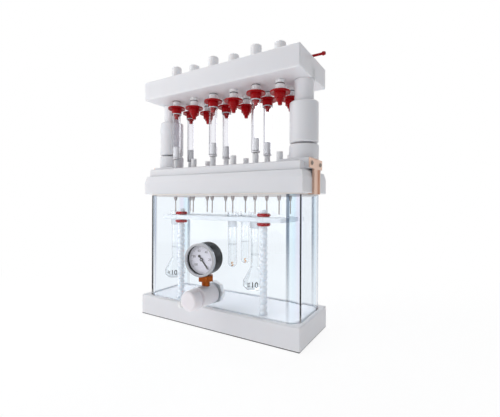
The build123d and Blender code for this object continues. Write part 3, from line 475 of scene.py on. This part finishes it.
vesselGlass = glassFinish("vesselGlass", {
    "colour": (0.98, 0.99, 0.995, 1), "edgeColour": (0.3, 0.35, 0.4, 1), "edgeBlend": 0.5,
    "edgePower": 3.0, "smearScale": 90.0, "roughness": (0.0, 0.02), "clear": 1.0,
    "ior": 1.47, "ripple": 0.02, "shadow": (0.96, 0.97, 0.98, 1),
    "bands": ((0.1275, 0.1413, (0.92, 0.93, 0.95, 1), 0.45),)})
lensGlass = glassFinish("lensGlass", {
    "colour": (1.0, 1.0, 1.0, 1), "edgeColour": (0.7, 0.75, 0.78, 1), "edgeBlend": 0.3,
    "edgePower": 4.0, "smearScale": 90.0, "roughness": (0.0, 0.01), "clear": 1.0,
    "ior": 1.3, "ripple": 0.0, "shadow": (0.97, 0.97, 0.97, 1)})
barrelLow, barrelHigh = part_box("cartridge_barrels_front")
barrelPlastic = glassFinish("barrelPlastic", {
    "colour": (0.95, 0.95, 0.975, 1), "edgeColour": (0.16, 0.16, 0.2, 1), "edgeBlend": 0.6,
    "edgePower": 1.5, "smearScale": 140.0, "roughness": (0.03, 0.05), "clear": 1.0,
    "ior": 1.33, "ripple": 0.0, "shadow": (0.95, 0.96, 0.98, 1),
    "bands": ((barrelLow.z, barrelLow.z + 0.0125, (0.98, 0.98, 1.0, 1), 0.35),)})
milkyRim = polymerFinish("milkyRim", {
    **whiteLook, "colour": (0.78, 0.78, 0.82, 1), "stretch": (1.0, 1.0, 1.0),
    "grainScale": 900.0, "bump": 0.04, "roughness": (0.2, 0.3), "edgeWidth": 0.0002,
    "milky": 0.4, "depth": 0.002})


def printFinish(name, colour, roughness):
    # screen print: slightly broken ink with its own tooth
    finish, tree, shader = startFinish(name)
    grain = addGroup(tree, fineGrain, Cloud_Scale=500.0, Grain_Scale=2500.0)
    lighter = tuple(min(1.0, part * 1.35 + 0.02) for part in colour[:3]) + (1,)
    tree.links.new(blendColours(tree, grain.outputs["Cloud"], colour, lighter),
                   shader.inputs["Base Color"])
    tree.links.new(spread(tree, grain.outputs["Grain"], roughness, roughness + 0.2),
                   shader.inputs["Roughness"])
    addBump(tree, shader, grain.outputs["Grain"], 0.1, 0.00005)
    return finish


dialGrey = printFinish("dialGrey", (0.6, 0.6, 0.68, 1), 0.45)
inkBlack = printFinish("inkBlack", (0.02, 0.02, 0.025, 1), 0.4)
inkGrey = printFinish("inkGrey", (0.28, 0.3, 0.33, 1), 0.4)
inkAmber = printFinish("inkAmber", (0.8, 0.3, 0.03, 1), 0.4)
print("finishes made")

finishOf = {
    "base_block": baseWhite, "chamber_lid": milledWhite, "attachment_foot": milledWhite,
    "top_plate": milledWhite, "rack_plate": rackShadedWhite, "socket_sleeves": turnedWhite,
    "spacer_sleeves": turnedWhite, "guide_rods": turnedWhite, "rack_posts": rackShadedWhite,
    "luer_ports": mouldedWhite, "valve_body": tintedWhite, "valve_nut": mouldedWhite,
    "bleed_knob": tintedWhite, "hose_nipple": mouldedWhite, "rack_rings": glossyRed,
    "gas_inlet": glossyRed, "base_seal": siliconeBeige, "lid_seal": siliconeBeige,
    "glass_chamber": chamberGlass, "flask_left": vesselGlass, "flask_right": vesselGlass,
    "collection_tubes": vesselGlass, "gauge_lens": lensGlass,
    "cartridge_barrels_front": barrelPlastic, "cartridge_barrels_back": barrelPlastic,
    "frits": poreWhite, "sorbent_beds": sorbentPowder, "needles": needleSteel,
    "retaining_clips": clipSteel, "clip_screws": darkSteel, "guide_pins": darkSteel,
    "gauge_case": caseBlack, "gauge_pointer": inkBlack, "gauge_dial": dialGrey,
    "gauge_bezel": bezelChrome, "gauge_socket": socketBrass,
}


def dressNode(name, finish):
    node = nodes[name]
    if not node.material_slots:
        node.data.materials.append(finish)
    for slot in node.material_slots:
        slot.material = finish


for name, finish in finishOf.items():
    dressNode(name, finish)
for name in nodes:
    if name.startswith("port_stem"):
        dressNode(name, mouldedWhite)
    elif name.startswith("port_adapter"):
        dressNode(name, glossyRed)
print("solids dressed")


# ---- geometry node helpers
def newTree(name, inputs):
    tree = bpy.data.node_groups.new(name, "GeometryNodeTree")
    tree.interface.new_socket(name="Geometry", in_out="OUTPUT",
                              socket_type="NodeSocketGeometry")
    for label, kind, value in inputs:
        socket = tree.interface.new_socket(name=label, in_out="INPUT", socket_type=kind)
        if value is not None:
            socket.default_value = value
    return tree, tree.nodes.new("NodeGroupInput"), tree.nodes.new("NodeGroupOutput")


def closeTree(tree, geometry, gin, gout):
    realize = tree.nodes.new("GeometryNodeRealizeInstances")
    paint = tree.nodes.new("GeometryNodeSetMaterial")
    tree.links.new(geometry, realize.inputs[0])
    tree.links.new(realize.outputs[0], paint.inputs["Geometry"])
    tree.links.new(gin.outputs["Finish"], paint.inputs["Material"])
    tree.links.new(paint.outputs[0], gout.inputs[0])


def growPiece(name, tree, values, body):
    # runs the tree once and keeps the result as a plain mesh
    seed = addObject(name + "Seed", bpy.data.meshes.new(name + "Seed"))
    modifier = seed.modifiers.new("grow", "NODES")
    modifier.node_group = tree
    for item in tree.interface.items_tree:
        if item.item_type == "SOCKET" and item.in_out == "INPUT" and item.name in values:
            modifier[item.identifier] = values[item.name]
    bpy.context.view_layer.update()
    grown = bpy.data.meshes.new_from_object(
        seed.evaluated_get(bpy.context.evaluated_depsgraph_get()))
    grown.name = name
    bpy.data.objects.remove(seed)
    piece = addObject(name, grown)
    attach(piece, body)
    return piece


def link(tree, source, target):
    tree.links.new(source, target)


# ---- thin black ring round every plunger stem, a little above its red adapter
stemRing = {"radius": 0.005075, "section": 0.00045, "aboveFlange": 0.0078, "round": 40,
            "sectionRound": 12}


def makeRingTree():
    tree, gin, gout = newTree("stemRingTree", [
        ("Ring Radius", "NodeSocketFloat", 0.005), ("Section Radius", "NodeSocketFloat", 0.001),
        ("Centre", "NodeSocketVector", (0.0, 0.0, 0.0)), ("Round", "NodeSocketInt", 40),
        ("Section Round", "NodeSocketInt", 12), ("Finish", "NodeSocketMaterial", None)])
    loop = tree.nodes.new("GeometryNodeCurvePrimitiveCircle")
    section = tree.nodes.new("GeometryNodeCurvePrimitiveCircle")
    sweep = tree.nodes.new("GeometryNodeCurveToMesh")
    smooth = tree.nodes.new("GeometryNodeSetShadeSmooth")
    move = tree.nodes.new("GeometryNodeTransform")
    link(tree, gin.outputs["Ring Radius"], loop.inputs["Radius"])
    link(tree, gin.outputs["Round"], loop.inputs["Resolution"])
    link(tree, gin.outputs["Section Radius"], section.inputs["Radius"])
    link(tree, gin.outputs["Section Round"], section.inputs["Resolution"])
    link(tree, loop.outputs["Curve"], sweep.inputs["Curve"])
    link(tree, section.outputs["Curve"], sweep.inputs["Profile Curve"])
    link(tree, sweep.outputs[0], smooth.inputs["Geometry"])
    link(tree, smooth.outputs[0], move.inputs["Geometry"])
    link(tree, gin.outputs["Centre"], move.inputs["Translation"])
    closeTree(tree, move.outputs[0], gin, gout)
    return tree


ringTree = makeRingTree()
for row, rowY in stations["rows"].items():
    for column in range(stations["columns"]):
        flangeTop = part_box(f"port_adapter_{row}_{column + 1}")[1].z
        growPiece(f"stemRing_{row}_{column + 1}", ringTree,
                  {"Ring Radius": stemRing["radius"],
                   "Section Radius": stemRing["section"],
                   "Centre": (stationX(column), rowY, flangeTop + stemRing["aboveFlange"]),
                   "Round": stemRing["round"], "Section Round": stemRing["sectionRound"],
                   "Finish": stemRingBlack},
                  f"port_{row}_{column + 1}")
print("stem rings set")

# ---- rolled rims of the loaded cartridges, milky where the adapter's seat rests
barrelRim = {"parts": {"Rim": (0.0055, 0.0006, 0.0005), "Foot": (0.0046, 0.0009, 0.0652)},
             "round": 48, "sectionRound": 10}
for row, rowY in stations["rows"].items():
    for column in stations["loaded"]:
        for part, (radius, section, below) in barrelRim["parts"].items():
            growPiece(f"barrel{part}_{row}_{column + 1}", ringTree,
                      {"Ring Radius": radius, "Section Radius": section,
                       "Centre": (stationX(column), rowY, barrelHigh.z - below),
                       "Round": barrelRim["round"],
                       "Section Round": barrelRim["sectionRound"], "Finish": milkyRim},
                      "manifold")
print("barrel rims set")


# ---- lid seal, a hair inside the glass so that the two never share a face
sealFit = {"squeeze": 0.9975, "lipDrop": 0.0016, "flange": 0.0015}


def redrawSeal():
    build = bmesh.new()
    build.from_mesh(nodes["lid_seal"].data)
    bmesh.ops.remove_doubles(build, verts=build.verts, dist=0.000001)
    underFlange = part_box("lid_seal")[1].z - sealFit["flange"]
    for vertex in build.verts:
        vertex.co.x *= sealFit["squeeze"]
        vertex.co.y *= sealFit["squeeze"]
        vertex.co.z = max(vertex.co.z, underFlange - sealFit["lipDrop"])
    bmesh.ops.recalc_face_normals(build, faces=build.faces)
    mesh = bpy.data.meshes.new("lidSealFitted")
    build.to_mesh(mesh)
    build.free()
    mesh.materials.append(siliconeBeige)
    piece = addObject("lidSealFitted", mesh)
    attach(piece, "manifold")
    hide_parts("lid_seal")


redrawSeal()
print("lid seal fitted")

# ---- pan heads of the clip screws, with a cross recess
clipScrew = {"domeHeight": 0.0016, "headRadius": 0.0027, "recess": 0.00062,
             "recessDepth": 0.0009, "spacing": 0.028}


def makeScrewTree():
    tree, gin, gout = newTree("crossScrewTree", [
        ("Head Radius", "NodeSocketFloat", 0.0027),
        ("Recess Width", "NodeSocketFloat", 0.0006), ("Recess Depth", "NodeSocketFloat", 0.0009),
        ("Side Face", "NodeSocketFloat", 0.1224), ("Height", "NodeSocketFloat", 0.2),
        ("Spacing", "NodeSocketFloat", 0.026), ("Dome Height", "NodeSocketFloat", 0.0016),
        ("Finish", "NodeSocketMaterial", None)])
    # head: a flattened ball, cut by two crossed bars
    dome = tree.nodes.new("GeometryNodeMeshUVSphere")
    dome.inputs["Segments"].default_value = 32
    dome.inputs["Rings"].default_value = 16
    link(tree, gin.outputs["Head Radius"], dome.inputs["Radius"])
    flat = tree.nodes.new("GeometryNodeTransform")
    ratio = mathNode(tree, "DIVIDE", gin.outputs["Dome Height"], gin.outputs["Head Radius"])
    link(tree, dome.outputs["Mesh"], flat.inputs["Geometry"])
    link(tree, joinParts(tree, 1.0, 1.0, ratio), flat.inputs["Scale"])
    cut = tree.nodes.new("GeometryNodeMeshBoolean")
    cut.operation = "DIFFERENCE"
    link(tree, flat.outputs[0], cut.inputs["Mesh 1"])
    for turn in (0.0, pi / 2):
        bar = tree.nodes.new("GeometryNodeMeshCube")
        size = joinParts(tree, gin.outputs["Head Radius"], gin.outputs["Recess Width"],
                         gin.outputs["Recess Depth"])
        link(tree, size, bar.inputs["Size"])
        place = tree.nodes.new("GeometryNodeTransform")
        place.inputs["Rotation"].default_value = (0.0, 0.0, turn)
        link(tree, bar.outputs["Mesh"], place.inputs["Geometry"])
        link(tree, joinParts(tree, z=gin.outputs["Dome Height"]), place.inputs["Translation"])
        link(tree, place.outputs[0], cut.inputs["Mesh 2"])
    # four places: two on each end face, turned to look outwards
    spots = tree.nodes.new("GeometryNodeMeshGrid")
    spots.inputs["Vertices X"].default_value = 2
    spots.inputs["Vertices Y"].default_value = 2
    link(tree, mathNode(tree, "MULTIPLY", gin.outputs["Side Face"], 2.0),
         spots.inputs["Size X"])
    link(tree, gin.outputs["Spacing"], spots.inputs["Size Y"])
    lift = tree.nodes.new("GeometryNodeTransform")
    link(tree, spots.outputs["Mesh"], lift.inputs["Geometry"])
    link(tree, joinParts(tree, z=gin.outputs["Height"]), lift.inputs["Translation"])
    where = tree.nodes.new("GeometryNodeInputPosition")
    split = tree.nodes.new("ShaderNodeSeparateXYZ")
    turnTo = tree.nodes.new("FunctionNodeAlignRotationToVector")
    turnTo.axis = "Z"
    onPoints = tree.nodes.new("GeometryNodeInstanceOnPoints")
    link(tree, where.outputs[0], split.inputs[0])
    side = mathNode(tree, "SIGN", split.outputs["X"])
    link(tree, joinParts(tree, side), turnTo.inputs["Vector"])
    link(tree, lift.outputs[0], onPoints.inputs["Points"])
    link(tree, cut.outputs["Mesh"], onPoints.inputs["Instance"])
    link(tree, turnTo.outputs[0], onPoints.inputs["Rotation"])
    closeTree(tree, onPoints.outputs[0], gin, gout)
    return tree


screwLow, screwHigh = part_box("clip_screws")
screwPiece = growPiece("clipScrewHeads", makeScrewTree(), {
    "Head Radius": clipScrew["headRadius"], "Recess Width": clipScrew["recess"],
    "Recess Depth": clipScrew["recessDepth"], "Side Face": screwHigh.x - clipScrew["domeHeight"],
    "Height": (screwLow.z + screwHigh.z) / 2, "Spacing": clipScrew["spacing"],
    "Dome Height": clipScrew["domeHeight"], "Finish": screwSteel}, "manifold")
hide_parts("clip_screws")
print("clip screws set")


# ---- print on the dial, seen square on from the gauge's front
gaugeOut = Vector((sin(radians(gaugeLook["turn"])), -cos(radians(gaugeLook["turn"])), 0.0))
dialReach = max((point.co - Vector(gaugeLook["centre"])).dot(gaugeOut)
                for point in nodes["gauge_dial"].data.vertices)
dialFront = dialReach - gaugeLook["axle"] + gaugeLook["printLift"]
gaugeAcross = Vector((-gaugeOut.y, gaugeOut.x, 0.0))
dialFrame = (Matrix.Translation(Vector(gaugeLook["centre"]) + gaugeOut * dialFront)
             @ Matrix((gaugeAcross, Vector((0, 0, 1)), gaugeOut)).transposed().to_4x4())
dialPrint = {"radius": 0.0155, "first": -52.0, "sweep": 270.0, "marks": 51, "major": 5,
             "length": 0.0012, "majorLength": 0.0023, "width": 0.00016,
             "majorWidth": 0.00034, "numberRadius": 0.0108, "numberSize": 0.004, "thick": 0.00002,
             "numbers": ("0", "20", "40", "60", "80", "100")}


def makeTickTree():
    tree, gin, gout = newTree("dialTickTree", [
        ("Radius", "NodeSocketFloat", 0.0155), ("First Angle", "NodeSocketFloat", -0.9),
        ("Step Angle", "NodeSocketFloat", 0.1), ("Count", "NodeSocketInt", 51),
        ("Length", "NodeSocketFloat", 0.001), ("Width", "NodeSocketFloat", 0.0002),
        ("Thickness", "NodeSocketFloat", 0.00005), ("Finish", "NodeSocketMaterial", None)])
    line = tree.nodes.new("GeometryNodeMeshLine")
    line.mode = "OFFSET"
    link(tree, gin.outputs["Count"], line.inputs["Count"])
    line.inputs["Offset"].default_value = (0.0, 0.0, 0.0)
    index = tree.nodes.new("GeometryNodeInputIndex")
    angle = mathNode(tree, "MULTIPLY_ADD", index.outputs[0], gin.outputs["Step Angle"],
                     c=gin.outputs["First Angle"])
    # a tick's middle lies half its length inside the radius
    middle = mathNode(tree, "MULTIPLY_ADD", gin.outputs["Length"], -0.5,
                      c=gin.outputs["Radius"])
    place = joinParts(tree, *(mathNode(tree, "MULTIPLY", mathNode(tree, turn, angle), middle)
                              for turn in ("COSINE", "SINE")))
    setPlace = tree.nodes.new("GeometryNodeSetPosition")
    link(tree, line.outputs["Mesh"], setPlace.inputs["Geometry"])
    link(tree, place, setPlace.inputs["Position"])
    stroke = tree.nodes.new("GeometryNodeMeshCube")
    size = joinParts(tree, gin.outputs["Length"], gin.outputs["Width"],
                     gin.outputs["Thickness"])
    link(tree, size, stroke.inputs["Size"])
    onPoints = tree.nodes.new("GeometryNodeInstanceOnPoints")
    link(tree, setPlace.outputs[0], onPoints.inputs["Points"])
    link(tree, stroke.outputs["Mesh"], onPoints.inputs["Instance"])
    link(tree, joinParts(tree, z=angle), onPoints.inputs["Rotation"])
    closeTree(tree, onPoints.outputs[0], gin, gout)
    return tree


tickTree = makeTickTree()
stepAngle = radians(dialPrint["sweep"]) / (dialPrint["marks"] - 1)
for label, every, length, width in (("fine", 1, dialPrint["length"], dialPrint["width"]),
                                    ("major", dialPrint["major"], dialPrint["majorLength"],
                                     dialPrint["majorWidth"])):
    ticks = growPiece(f"dialTicks_{label}", tickTree, {
        "Radius": dialPrint["radius"], "First Angle": radians(dialPrint["first"]),
        "Step Angle": stepAngle * every, "Count": (dialPrint["marks"] - 1) // every + 1,
        "Length": length, "Width": width, "Finish": inkBlack}, "manifold")
    ticks.data.transform(dialFrame)


def printText(name, words, size, finish, matrix, body, thick=0.0, bold=0.0):
    curve = bpy.data.curves.new(name, "FONT")
    curve.body = words
    curve.size = size
    curve.align_x = "CENTER"
    curve.align_y = "CENTER"
    curve.extrude = thick
    curve.offset = bold
    curve.resolution_u = 3
    text = addObject(name + "Curve", curve)
    bpy.context.view_layer.update()
    mesh = bpy.data.meshes.new_from_object(
        text.evaluated_get(bpy.context.evaluated_depsgraph_get()))
    mesh.name = name
    bpy.data.objects.remove(text)
    mesh.transform(matrix)
    mesh.materials.clear()
    mesh.materials.append(finish)
    piece = addObject(name, mesh)
    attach(piece, body)
    return piece


stepNumber = dialPrint["sweep"] / (len(dialPrint["numbers"]) - 1)
for place, number in enumerate(dialPrint["numbers"]):
    angle = dialPrint["first"] + place * stepNumber
    shift = Matrix.Translation((cos(radians(angle)) * dialPrint["numberRadius"],
                                sin(radians(angle)) * dialPrint["numberRadius"], 0))
    printText(f"dialNumber_{number}", number, dialPrint["numberSize"], inkBlack,
              dialFrame @ shift, "manifold", dialPrint["thick"])
print("dial printed")

# ---- marks on the vessels, laid on the glass by casting at its wall
vesselPrint = {
    "flasks": {"flask_left": -53.0, "flask_right": -60.0}, "number": "10",
    "numberSize": 0.0092, "numberZ": 0.0603, "bars": (-0.0076, 0.0042, 0.0008),
    "barRows": (0.0018, 0.0001, -0.0016), "neckRing": 0.095, "neckRadius": 0.00505,
    "tubeColumn": 3, "tubeRings": {"front": 0.1055, "back": 0.106}, "tubeRadius": 0.00585,
    "tubeNumber": "5", "tubeSize": 0.0078, "tubeZ": 0.0805, "tubeFacing": -58.0,
    "ringSection": 0.00016, "round": 40, "sectionRound": 6, "bold": 0.00012,
    "lift": 0.00006, "bodyRadius": 0.0142, "castFrom": 0.03, "longestEdge": 0.0009, "cuts": 3}


def wrapOn(piece, nodeName, centre, facing, height):
    # every point of a flat print goes to the wall's own radius at its angle and height
    build = bmesh.new()
    build.from_mesh(piece.data)
    bmesh.ops.remove_doubles(build, verts=build.verts, dist=0.000001)
    bmesh.ops.triangulate(build, faces=build.faces)
    longEdges = [edge for edge in build.edges if edge.calc_length() > vesselPrint["longestEdge"]]
    bmesh.ops.subdivide_edges(build, edges=longEdges, cuts=vesselPrint["cuts"])
    wall = BVHTree.FromObject(nodes[nodeName], bpy.context.evaluated_depsgraph_get())
    middle = Vector((centre[0], centre[1], 0.0))
    for vertex in build.verts:
        level = height + vertex.co.y
        turn = radians(facing)
        radius = vesselPrint["bodyRadius"]
        for _ in range(3):
            angle = turn + vertex.co.x / radius
            aim = Vector((cos(angle), sin(angle), 0.0))
            start = middle + aim * vesselPrint["castFrom"] + Vector((0.0, 0.0, level))
            place = wall.ray_cast(start, -aim)[0]
            if place is None:
                break
            radius = (Vector((place.x, place.y, 0.0)) - middle).length
        lift = vesselPrint["lift"] + vertex.co.z
        vertex.co = middle + aim * (radius + lift) + Vector((0.0, 0.0, level))
    build.to_mesh(piece.data)
    build.free()


def flatBars(name, finish):
    # short bars beside the number, drawn flat
    left, wide, tall = vesselPrint["bars"]
    build = bmesh.new()
    for middle in vesselPrint["barRows"]:
        corners = [build.verts.new((left + x * wide, middle + y * tall / 2, 0.0))
                   for x, y in ((-0.5, -1), (0.5, -1), (0.5, 1), (-0.5, 1))]
        build.faces.new(corners)
    mesh = bpy.data.meshes.new(name)
    build.to_mesh(mesh)
    build.free()
    mesh.materials.append(finish)
    piece = addObject(name, mesh)
    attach(piece, "manifold")
    return piece


def markRing(name, radius, centre, finish):
    growPiece(name, ringTree, {
        "Ring Radius": radius, "Section Radius": vesselPrint["ringSection"],
        "Centre": centre, "Round": vesselPrint["round"],
        "Section Round": vesselPrint["sectionRound"], "Finish": finish},
        "manifold")


for nodeName, facing in vesselPrint["flasks"].items():
    low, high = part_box(nodeName)
    centre = ((low.x + high.x) / 2, (low.y + high.y) / 2)
    mark = printText(nodeName + "Number", vesselPrint["number"], vesselPrint["numberSize"],
                     inkBlack, Matrix.Identity(4), "manifold",
                     bold=vesselPrint["bold"])
    wrapOn(mark, nodeName, centre, facing, vesselPrint["numberZ"])
    wrapOn(flatBars(nodeName + "Bars", inkBlack), nodeName, centre, facing,
           vesselPrint["numberZ"])
    markRing(nodeName + "Ring", vesselPrint["neckRadius"],
             (*centre, vesselPrint["neckRing"]), inkGrey)
for row, level in vesselPrint["tubeRings"].items():
    centre = (stationX(vesselPrint["tubeColumn"]), stations["rows"][row])
    markRing(f"tubeRing_{row}", vesselPrint["tubeRadius"], (*centre, level), inkGrey)
    mark = printText(f"tubeNumber_{row}", vesselPrint["tubeNumber"], vesselPrint["tubeSize"],
                     inkAmber, Matrix.Identity(4), "manifold",
                     bold=vesselPrint["bold"])
    wrapOn(mark, "collection_tubes", centre, vesselPrint["tubeFacing"],
           vesselPrint["tubeZ"])
print("vessels marked")

# ---- floor, world and lamps
studio = {"floorSize": 6.0, "floorTop": -0.0002, "floorGlow": 0.8, "fadeFrom": 0.2,
          "fadeTo": 0.6, "ambient": 0.28, "bounce": 0.38}
# each lamp's power, size, place, target, and whether mirrors show it
lamps = {"keyLamp": (3.0, (0.7, 0.9), (-0.75, -0.6, 0.7), (0, 0, 0.18), True),
         "lowLamp": (1.5, (0.7, 0.25), (-0.45, -0.8, 0.12), (0, 0, 0.22), False),
         "backLamp": (2.6, (0.8, 0.5), (-0.1, 0.95, 0.45), (0, 0, 0.12), False),
         "topLamp": (2.6, (0.8, 0.8), (0, 0.1, 1.1), (0, 0, 0.1), True)}


def seenRay(tree):
    path = tree.nodes.new("ShaderNodeLightPath")
    seen = mathNode(tree, "MAXIMUM", path.outputs["Is Camera Ray"],
                    path.outputs["Is Glossy Ray"])
    return mathNode(tree, "MAXIMUM", seen, path.outputs["Is Transmission Ray"])


def makeFloor():
    half = studio["floorSize"] / 2
    mesh = bpy.data.meshes.new("studioFloor")
    mesh.from_pydata([(x * half, y * half, studio["floorTop"])
                      for x, y in ((-1, -1), (1, -1), (1, 1), (-1, 1))], [], [(0, 1, 2, 3)])
    floor = addObject("studioFloor", mesh)
    paper, tree, shader = startFinish("paperWhite")
    shader.inputs["Base Color"].default_value = (0.9, 0.9, 0.9, 1)
    shader.inputs["Roughness"].default_value = 0.9
    shader.inputs["Emission Color"].default_value = (1.0, 1.0, 1.0, 1)
    shader.inputs["Emission Strength"].default_value = studio["bounce"]
    # the paper keeps the object's shadow near it and turns plain white further out
    where = tree.nodes.new("ShaderNodeTexCoord")
    distance = tree.nodes.new("ShaderNodeVectorMath")
    distance.operation = "LENGTH"
    tree.links.new(where.outputs["Object"], distance.inputs[0])
    fade = tree.nodes.new("ShaderNodeMapRange")
    fade.interpolation_type = "SMOOTHSTEP"
    for label, value in (("From Min", studio["fadeFrom"]), ("From Max", studio["fadeTo"]),
                         ("To Min", studio["floorGlow"]), ("To Max", 1.0)):
        fade.inputs[label].default_value = value
    tree.links.new(distance.outputs["Value"], fade.inputs["Value"])
    glow = tree.nodes.new("ShaderNodeEmission")
    mixSurface(tree, mathNode(tree, "MULTIPLY", seenRay(tree), fade.outputs[0]), shader, glow)
    mesh.materials.append(paper)


def makeWorld():
    world = bpy.data.worlds.new("studioWorld")
    bpy.context.scene.world = world
    world.use_nodes = True
    tree = world.node_tree
    background = tree.nodes["Background"]
    seen = seenRay(tree)
    tree.links.new(blendColours(tree, seen, (0.94, 0.96, 1.0, 1), (1.0, 1.0, 1.0, 1)),
                   background.inputs["Color"])
    tree.links.new(mathNode(tree, "MAXIMUM", seen, studio["ambient"]),
                   background.inputs["Strength"])


def addLamp(name, power, size, place, target, mirrored):
    data = bpy.data.lights.new(name, "AREA")
    data.energy = power
    data.shape = "RECTANGLE"
    data.size, data.size_y = size
    lamp = addObject(name, data)
    lamp.location = place
    lamp.visible_glossy = mirrored
    lamp.rotation_euler = (Vector(target) - Vector(place)).to_track_quat("-Z", "Y").to_euler()


makeFloor()
makeWorld()
for name, settings in lamps.items():
    addLamp(name, *settings)
bpy.context.scene.view_settings.view_transform = "Standard"
print("studio lit")
